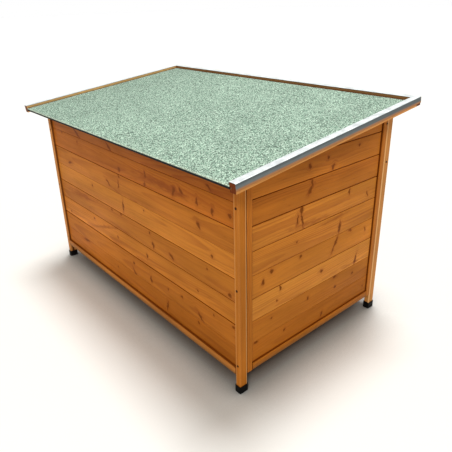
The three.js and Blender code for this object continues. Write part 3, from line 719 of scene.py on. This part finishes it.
def smooth_by_angle():
    """Geometry nodes that shade smooth but for sharp edges."""
    name = "Smooth by angle"
    tree = bpy.data.node_groups.get(name)
    if tree:
        return tree
    tree = bpy.data.node_groups.new(name, "GeometryNodeTree")
    for in_out in ("INPUT", "OUTPUT"):
        tree.interface.new_socket(name="Mesh", in_out=in_out, socket_type="NodeSocketGeometry")
    angle = put(tree, "GeometryNodeInputMeshEdgeAngle").outputs[0]
    is_sharp = put(tree, "FunctionNodeCompare", {0: angle, 1: SHARP}, operation="GREATER_THAN").outputs[0]
    given = put(tree, "NodeGroupInput").outputs[0]
    soft = put(tree, "GeometryNodeSetShadeSmooth", {0: given, "Shade Smooth": True}, domain="FACE").outputs[0]
    done = put(tree, "GeometryNodeSetShadeSmooth", {
        0: soft, "Selection": is_sharp, "Shade Smooth": False}, domain="EDGE").outputs[0]
    put(tree, "NodeGroupOutput", {0: done})
    return tree


def dress(node, material, ease=0.0):
    """Gives a carried-over node its finish, and eases its sharp edges by a width."""
    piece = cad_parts[node]
    piece.data.materials.clear()
    piece.data.materials.append(material)
    if ease:
        bevel = piece.modifiers.new("Eased edges", "BEVEL")
        bevel.width = ease
        bevel.segments = 2
        bevel.limit_method = "ANGLE"
        bevel.angle_limit = radians(50)
    piece.modifiers.new("Smooth by angle", "NODES").node_group = smooth_by_angle()


def middle_of(node):
    low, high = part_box(node)
    return (low + high) / 2


def longest_axis(node):
    low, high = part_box(node)
    return max("XYZ", key=lambda axis: (high - low).dot(AXIS[axis]))


def roof_extent(node, direction):
    """Least and greatest reach of a node's corners along a direction."""
    reach = [vertex.co.dot(direction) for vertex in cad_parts[node].data.vertices]
    return min(reach), max(reach)


# Wall boards

def board_outline(low, high, thickness, opened_below, opened_above, is_lowest, is_highest):
    """Section of one board as (into the wall, height), tongue up and groove down."""
    wood = bpy.context.scene.kennel_wood
    tongue_near, tongue_far, tongue, room = 0.35 * thickness, 0.65 * thickness, 5 * MM, 0.3 * MM
    start, end = low + opened_below / 2, high - opened_above / 2
    below, above = wood.arris + opened_below / 2, wood.arris + opened_above / 2
    outline = [(thickness, low)]
    if not is_lowest:
        outline += [(tongue_far + room, low), (tongue_far + room, low + tongue + room)]
        outline += [(tongue_near - room, low + tongue + room), (tongue_near - room, start)]
    outline += arc((below, start + below), below, 3, 2)
    outline += arc((above, end - above), above, 2, 1)
    if not is_highest:
        outline += [(tongue_near, end), (tongue_near, high + tongue)]
        outline += [(tongue_far, high + tongue), (tongue_far, high)]
    outline += [(thickness, high)]
    return outline


def rows_of(nodes):
    """(node, low, high) of every board row in a wall's nodes, from the lowest up."""
    rows = []
    for index, node in enumerate(nodes):
        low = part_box(node)[0].z
        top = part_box(nodes[index + 1])[0].z if index + 1 < len(nodes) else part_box(node)[1].z
        lines = [FIRST_ROW + row * ROW_PITCH for row in range(20)]
        lines = [low] + [line for line in lines if low + MM < line < top - 3 * MM] + [top]
        rows += [(node, *span) for span in zip(lines, lines[1:])]
    return rows


def cut_under_roof(made):
    """Cuts a board off along the underside of the roof."""
    plane_point = Vector((0, *POST_TOPS[0]))
    every = made.verts[:] + made.edges[:] + made.faces[:]
    cut = bmesh.ops.bisect_plane(made, geom=every, plane_co=plane_point, plane_no=ROOF_UP, clear_outer=True)
    rim = [part for part in cut["geom_cut"] if isinstance(part, bmesh.types.BMEdge)]
    bmesh.ops.contextual_create(made, geom=rim)


def draw_knots(draw, reach):
    """Random knots for a board whose ends lie reach from its middle, in mm."""
    return [
        (draw.uniform(-reach, reach) * 0.94, draw.uniform(-24, 24), draw.uniform(5, 7.5),
         draw.choice((6, 6, 7, 8, 13, 20)), draw.uniform(-40, 40))
        for _ in range(max(1, round(reach / 135)))]


def add_wall(name, nodes, axis, side, joints, tones, painted_end_lights, painted_highlights, knots, streaks, under_roof=False):
    """Boards of one wall along an axis, one piece for each row. side is where it faces."""
    wood = bpy.context.scene.kennel_wood
    low_corner, high_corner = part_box(nodes[0])
    is_long = axis == "X"
    run, deep = (0, 1) if is_long else (1, 0)
    face = (high_corner if side > 0 else low_corner)[deep]
    thickness = (high_corner - low_corner)[deep]
    start, end = low_corner[run], high_corner[run]
    rows = rows_of(nodes)
    for index, (node, low, high) in enumerate(rows):
        row = round((low - FIRST_ROW) / ROW_PITCH)
        piece_name = f"{name}_{index + 1}"
        draw = random.Random(piece_name)
        waves = [(draw.uniform(2, 9), draw.uniform(0, 6), draw.uniform(0.3, 1)) for _ in range(3)]
        proud = draw.uniform(-0.12, 0.12) * MM

        def place(station, into, height):
            wander = sum(size * sin(rate * station + phase) for rate, phase, size in waves)
            depth = into + proud + wood.bow * wander / len(waves)
            flat = face - side * depth
            return (station, flat, height) if is_long else (flat, station, height)

        is_highest = index == len(rows) - 1
        top = high + ROW_PITCH if under_roof and is_highest else high
        outline = board_outline(
            low, top, thickness,
            0 if index == 0 else joints[min(row, len(joints)) - 1] * MM,
            0 if is_highest else joints[min(row, len(joints) - 1)] * MM,
            index == 0, is_highest)
        made = sweep(outline, steps_between(start, end, 45 * MM), place)
        if under_roof and is_highest:
            cut_under_roof(made)
        half_long, half_high = (end - start) / 2, (min(high, low + ROW_PITCH) - low) / 2
        if knots is None:
            marks, stains = draw_knots(draw, half_long / MM), ()
        else:
            marks, stains = (
                [(along, up - half_high / MM, *shape) for along, up, *shape in table.get(row, ())]
                for table in (knots, streaks))
        material = pine(
            f"Pine {piece_name}", Vector(place((start + end) / 2, 0, low + half_high)), AXIS[axis], AXIS["Z"],
            tones[row], marks, stains, run_end=half_long if is_long else -half_long,
            painted_end_light=painted_end_lights.get(row, 0.0), lip=painted_highlights.get(row, 0.0), low_edge=-half_high)
        add_piece(piece_name, made, "cabin", material, [node])


class KENNEL_OT_stage(bpy.types.Operator):
    """Sets up the floor, the camera and the light"""

    bl_idname = "kennel.stage"
    bl_label = "Stage"

    def execute(self, context):
        stage = context.scene.kennel_stage
        context.scene.view_settings.view_transform = "Standard"
        self.add_floor(stage)
        self.add_camera(context.scene, stage)
        self.add_sky(context.scene, stage)
        self.add_lamp("Key", stage.key, elevation=77, azimuth=299, spread=18, colour=(1, 1, 1))
        self.add_lamp("Fill", stage.fill, elevation=39, azimuth=131, spread=17, colour=(1, 0.985, 0.93))
        return {"FINISHED"}

    def add_floor(self, stage):
        half, middle_y = 40.0, (BODY_BACK_Y + BODY_FRONT_Y) / 2
        corners = ((-half, -half, 0), (half, -half, 0), (half, half, 0), (-half, half, 0))
        made = bmesh.new()
        made.faces.new([made.verts.new(corner) for corner in corners])
        material, tree, shader = new_material("Studio floor")
        position = put(tree, "ShaderNodeTexCoord").outputs["Object"]
        cloud = noise_of(scaled(position, 1.5, 1.5, 1.5))
        colour = mix_colours(cloud, toned(stage.floor, 0.995), toned(stage.floor, 1.005))
        # Painted shadow: the floor under the kennel is browner and darker the deeper it lies in from the walls
        place = split(position)
        inside_x, inside_y = (
            remap(size_of(minus(place[axis], middle)), half_wide + 0.06, half_wide - 0.10)
            for axis, middle, half_wide in (("X", 0, BODY_HALF_X), ("Y", middle_y, BODY_BACK_Y - middle_y)))
        colour = mix_colours(times(inside_x, inside_y), colour, (0.25, 0.11, 0.035))
        # Painted contact shadow: the floor's colour darkens where the kennel stands close over it
        closed = put(tree, "ShaderNodeAmbientOcclusion", {"Color": colour, "Distance": 0.17}, samples=8)
        feed(shader, {"Base Color": closed.outputs["Color"], "Roughness": 0.6, "Specular IOR Level": 0.2})
        floor = add_mesh("floor", made, material)

    def add_camera(self, scene, stage):
        """The camera, with the small shift that the photograph's framing has."""
        lens = bpy.data.cameras.new("Camera")
        lens.lens = stage.lens
        lens.sensor_width = 36
        lens.shift_x = 0.0043
        lens.shift_y = -0.0389
        turns = ((stage.heading - pi / 2, "Z"), (pi / 2 - stage.pitch, "X"), (stage.roll, "Z"))
        camera = add_object("Camera", lens)
        camera.matrix_world = Matrix.Translation(stage.eye)
        for angle, axis in turns:
            camera.matrix_world @= Matrix.Rotation(angle, 4, axis)
        scene.camera = camera

    def add_sky(self, scene, stage):
        """Even light; the camera, mirrors and glass see plain white instead."""
        world = bpy.data.worlds.new("Studio")
        world.use_nodes = True
        tree = world.node_tree
        tree.nodes.clear()
        path = put(tree, "ShaderNodeLightPath").outputs
        seen = math_of("ADD", path["Is Camera Ray"], path["Is Glossy Ray"], clamp=True)
        seen = math_of("ADD", seen, path["Is Transmission Ray"], clamp=True)
        lit, white = (
            put(tree, "ShaderNodeBackground", {"Color": colour, "Strength": strength}).outputs[0]
            for colour, strength in (((1, 0.985, 0.90), stage.sky), ((1, 1, 1), 1.0)))
        mixed = put(tree, "ShaderNodeMixShader", {0: seen, 1: lit, 2: white}).outputs[0]
        put(tree, "ShaderNodeOutputWorld", {"Surface": mixed})
        scene.world = world

    def add_lamp(self, name, strength, elevation, azimuth, spread, colour):
        """A broad sun. Elevation and azimuth, from +X towards +Y, say where it stands."""
        sun = bpy.data.lights.new(name, "SUN")
        sun.energy = strength
        sun.color = colour
        sun.angle = radians(spread)
        lamp = add_object(name, sun)
        lamp.rotation_euler = (0, radians(90 - elevation), radians(azimuth))


class KENNEL_OT_back_boards(bpy.types.Operator):
    """Lays the tongue-and-groove boards of the back wall"""

    bl_idname = "kennel.back_boards"
    bl_label = "Back wall boards"

    def execute(self, context):
        nodes = [f"back_boards_{index}" for index in range(1, 5)]
        add_wall("back_board", nodes, "X", 1, BACK_JOINTS, BACK_TONES_AND_EAVE_SHADE, BACK_PAINTED_END_LIGHT, BACK_PAINTED_HIGHLIGHTS,
                 BACK_KNOTS, BACK_STREAKS)
        return {"FINISHED"}


class KENNEL_OT_side_boards(bpy.types.Operator):
    """Lays the boards of both end walls and cuts them off under the roof"""

    bl_idname = "kennel.side_boards"
    bl_label = "End wall boards"

    def execute(self, context):
        for side, facing, knots, streaks in (("left", -1, SIDE_KNOTS, SIDE_STREAKS), ("right", 1, None, None)):
            nodes = [f"{side}_boards_{index}" for index in range(1, 5)]
            add_wall(f"{side}_board", nodes, "Y", facing, SIDE_JOINTS, SIDE_TONES, SIDE_PAINTED_END_LIGHT, SIDE_PAINTED_HIGHLIGHTS,
                     knots, streaks, under_roof=True)
        return {"FINISHED"}


class KENNEL_OT_front_boards(bpy.types.Operator):
    """Lays the boards under and beside the entrance"""

    bl_idname = "kennel.front_boards"
    bl_label = "Front wall boards"

    def execute(self, context):
        walls = {"front_lower_board": ["front_lower_boards"]}
        for side in SIDES:
            walls[f"front_{side}_board"] = [f"front_{side}_boards_{index}" for index in (1, 2)]
        for name, nodes in walls.items():
            add_wall(name, nodes, "X", -1, BACK_JOINTS, BACK_TONES_AND_EAVE_SHADE, {}, {}, None, None)
        return {"FINISHED"}


class KENNEL_OT_frame_timber(bpy.types.Operator):
    """Finishes posts, stiles, jambs, rails and the header"""

    bl_idname = "kennel.frame_timber"
    bl_label = "Frame timber"

    def execute(self, context):
        posts = [f"post_{end}_{side}" for end in ENDS for side in SIDES]
        stiles = [f"{side}_{end}_stile" for side in SIDES for end in ENDS]
        jambs = [f"front_{side}_jamb" for side in SIDES]
        rails = [f"{wall}_bottom_rail" for wall in ("back", "front", "left", "right")]
        rails += ["back_top_rail", "front_sill_rail", "front_header"]
        for node in posts + stiles + jambs + rails:
            axis = longest_axis(node)
            tone, bare = FRAME_TONES.get(node, (0.98, 0))
            wear = {}
            # Posts get paler edges, partly worn glaze and partly a painted highlight on their rounded arrises
            if node in posts:
                low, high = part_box(node)
                corner = (max(low.x, high.x, key=abs), min(low.y, high.y, key=abs), 0)
                wear = {"worn": context.scene.kennel_wood.worn, "worn_and_lit_corner": corner}
            across = AXIS["X" if axis == "Z" else "Z"]
            # Bottom rails get painted shade along their lower edge
            material = pine(
                f"Pine {node}", middle_of(node), AXIS[axis], across, tone, bare=bare, reach=20 * MM,
                low_shade=0.6 if "bottom_rail" in node else 0.0, **wear)
            dress(node, material, 0.0 if axis == "Z" else 0.3 * MM)
        return {"FINISHED"}


class KENNEL_OT_foot_caps(bpy.types.Operator):
    """Finishes the moulded foot caps"""

    bl_idname = "kennel.foot_caps"
    bl_label = "Foot caps"

    def execute(self, context):
        black = moulded_plastic("Black plastic")
        for end in ENDS:
            for side in SIDES:
                dress(f"foot_cap_{end}_{side}", black, 0.4 * MM)
        return {"FINISHED"}


class KENNEL_OT_panels(bpy.types.Operator):
    """Finishes the floor panels and the roof deck"""

    bl_idname = "kennel.panels"
    bl_label = "Floor and deck"

    def execute(self, context):
        for node in ("floor_panel_1", "floor_panel_2"):
            dress(node, plywood(f"Plywood {node}", middle_of(node), AXIS["X"], AXIS["Y"]), 0.4 * MM)
        dress("roof_deck", plywood("Plywood deck", middle_of("roof_deck"), AXIS["X"], ROOF_DOWN))
        return {"FINISHED"}


class KENNEL_OT_roof_felt(bpy.types.Operator):
    """Lays the mineral felt and folds it over the deck's low edge"""

    bl_idname = "kennel.roof_felt"
    bl_label = "Roof felt"

    def execute(self, context):
        roof = context.scene.kennel_roof
        front, back = roof_extent("roof_felt", ROOF_DOWN)
        low, top = roof_extent("roof_felt", ROOF_UP)
        deck_top = roof_extent("roof_deck", ROOF_UP)[1] + 0.3 * MM
        lip = back - (top - deck_top)
        left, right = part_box("roof_felt")[0].x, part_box("roof_felt")[1].x
        fold = 1.6 * MM
        rows = steps_between(front, back - 2 * fold, 8 * MM)
        outline = [(front, deck_top)] + [(row, top) for row in rows]
        outline += arc((back - fold, top - fold), fold, 1, 0)
        outline += [(back, low), (lip, low), (lip, deck_top)]

        def swell(x, down):
            wave = sin(5.1 * x + 1.3) * sin(7.7 * down + 0.4)
            wave += 0.6 * sin(13 * x - 9 * down) + 0.4 * sin(31 * down + 4 * x)
            past = down - back + CREASE_UP
            aside = x - CREASE_X - CREASE_LEAN * past
            crease = exp(-(past / 0.025) ** 2 - (aside / 0.008) ** 2)
            return roof.swell * (0.5 + wave / 4) + 1.2 * roof.swell * crease

        def place(x, down, up):
            is_free = up > deck_top + MM
            up = up - swell(x, down) if is_free else up
            return AXIS["X"] * x + ROOF_DOWN * down + ROOF_UP * up

        made = sweep(outline, steps_between(left, right, 9 * MM), place)
        material = mineral_felt("Mineral felt", ROOF_DOWN * back + ROOF_UP * low)
        add_piece("roof_felt_sheet", made, "roof", material, ["roof_felt"])
        return {"FINISHED"}


class KENNEL_OT_roof_edges(bpy.types.Operator):
    """Finishes the edge battens, the bearers and the bent metal trims"""

    bl_idname = "kennel.roof_edges"
    bl_label = "Battens, bearers and trims"

    def execute(self, context):
        roof = context.scene.kennel_roof
        down_slope, along_front = (ROOF_DOWN, AXIS["X"]), (AXIS["X"], ROOF_DOWN)
        for node, axes, tone, bare in (
                ("roof_left_batten", down_slope, 1.3, 0.2), ("roof_right_batten", down_slope, 1.3, 0.75),
                ("roof_left_bearer", down_slope, 0.95, 0), ("roof_right_bearer", down_slope, 0.95, 0),
                ("roof_front_batten", along_front, 0.5, 0.5)):
            dress(node, pine(f"Pine {node}", middle_of(node), *axes, tone, bare=bare), 0.3 * MM)
        corner = ROOF_DOWN * roof_extent("roof_left_trim", ROOF_DOWN)[1]
        corner += ROOF_UP * roof_extent("roof_left_trim", ROOF_UP)[1]
        side_metal = bright_metal("Side trim metal", ROOF_DOWN, AXIS["X"], roof.trim, roof.dull, corner)
        for side in SIDES:
            dress(f"roof_{side}_trim", side_metal)
        corner += AXIS["X"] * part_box("roof_front_trim")[1].x
        front_metal = bright_metal("Front trim metal", AXIS["X"], -ROOF_DOWN, roof.trim, roof.dull, corner)
        dress("roof_front_trim", front_metal)
        return {"FINISHED"}


class KENNEL_OT_fittings(bpy.types.Operator):
    """Finishes the hinges and the slotted roof stay"""

    bl_idname = "kennel.fittings"
    bl_label = "Hinges and stay"

    def execute(self, context):
        zinc = bright_metal("Zinc-plated steel", AXIS["X"], AXIS["Z"], (0.55, 0.57, 0.58))
        for side in SIDES:
            for part in ("wall_leaf", "roof_leaf", "pin"):
                dress(f"hinge_{side}_{part}", zinc)
        for node in ("stay_wall_peg", "stay_roof_pivot", "stay_arm"):
            dress(node, zinc, 0.2 * MM)
        return {"FINISHED"}


def screw_head(made, centre, outward):
    """Adds a low domed head with a cross recess, its rim on the surface."""
    turn = outward.to_track_quat("Z", "Y").to_matrix()
    top = 0.26 * SCREW

    def ring(points, scale, height):
        return [made.verts.new(centre + turn @ Vector((*(point * scale), height))) for point in points]

    angles = [2 * pi * side / 20 for side in range(20)]
    circle = [Vector((cos(angle), sin(angle))) for angle in angles]
    arm = [Vector(corner) * SCREW for corner in ((0.62, 0.16), (0.16, 0.16), (0.16, 0.62))]
    cross = [Matrix.Rotation(quarter * pi / 2, 2) @ corner for quarter in range(4) for corner in arm]
    foot, brim = ring(circle, SCREW, -0.3 * MM), ring(circle, SCREW, 0.12 * SCREW)
    crown = ring(circle, 0.82 * SCREW, top)
    bridge(made, foot, brim)
    bridge(made, brim, crown)
    made.faces.new(foot)
    rim, bottom = ring(cross, 1, top), ring(cross, 0.8, top - 0.35 * SCREW)
    bridge(made, rim, bottom)
    made.faces.new(bottom)
    edges = [made.edges.get((loop[i], loop[(i + 1) % len(loop)])) for loop in (crown, rim)
             for i in range(len(loop))]
    bmesh.ops.triangle_fill(made, edges=edges, use_beauty=True)


class KENNEL_OT_screws(bpy.types.Operator):
    """Drives the screws of the posts and the front stiles"""

    bl_idname = "kennel.screws"
    bl_label = "Screws"

    def execute(self, context):
        # The heads are dark bronze, darkened further as painted shade of the holes they sit in
        dark = bright_metal("Bronzed screw and hole shade", AXIS["X"], AXIS["Z"], (0.052, 0.016, 0.005))
        made = bmesh.new()
        stile_x = max(abs(corner.x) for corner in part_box("left_front_stile"))
        for sign in (-1, 1):
            for height in POST_SCREWS:
                for y, facing in ((BODY_BACK_Y, 1), (BODY_FRONT_Y, -1)):
                    centre = Vector((sign * (BODY_HALF_X - POST_SCREW_IN), y, height))
                    screw_head(made, centre, Vector((0, facing, 0)))
            for x, (from_front, height) in ((BODY_HALF_X, END_POST_SCREW), (stile_x, STILE_SCREW)):
                screw_head(made, Vector((sign * x, BODY_FRONT_Y + from_front, height)), Vector((sign, 0, 0)))
        add_piece("post_screws", made, "cabin", dark)
        return {"FINISHED"}


class KENNEL_PT_sidebar(bpy.types.Panel):
    """Lists the kennel's pieces"""

    bl_idname = "KENNEL_PT_sidebar"
    bl_label = "Dog kennel"
    bl_space_type = "VIEW_3D"
    bl_region_type = "UI"
    bl_category = "Kennel"

    def draw(self, context):
        for name in SETTINGS:
            settings = getattr(context.scene, name)
            box = self.layout.box()
            for key in settings.__annotations__:
                box.prop(settings, key)
        for operator in OPERATORS:
            self.layout.operator(operator.bl_idname)


OPERATORS = (
    KENNEL_OT_stage,
    KENNEL_OT_back_boards,
    KENNEL_OT_side_boards,
    KENNEL_OT_front_boards,
    KENNEL_OT_frame_timber,
    KENNEL_OT_foot_caps,
    KENNEL_OT_panels,
    KENNEL_OT_roof_felt,
    KENNEL_OT_roof_edges,
    KENNEL_OT_fittings,
    KENNEL_OT_screws,
)
SETTINGS = {"kennel_wood": WoodFinish, "kennel_roof": RoofFinish, "kennel_stage": StageSetting}


def register():
    for name, settings in SETTINGS.items():
        bpy.utils.register_class(settings)
        setattr(bpy.types.Scene, name, PointerProperty(type=settings))
    for operator in OPERATORS:
        bpy.utils.register_class(operator)
    bpy.utils.register_class(KENNEL_PT_sidebar)


def unregister():
    bpy.utils.unregister_class(KENNEL_PT_sidebar)
    for operator in reversed(OPERATORS):
        bpy.utils.unregister_class(operator)
    for name, settings in SETTINGS.items():
        delattr(bpy.types.Scene, name)
        bpy.utils.unregister_class(settings)


def main():
    register()
    for operator in OPERATORS:
        family, name = operator.bl_idname.split(".")
        getattr(getattr(bpy.ops, family), name)()


if __name__ == "__main__":
    main()
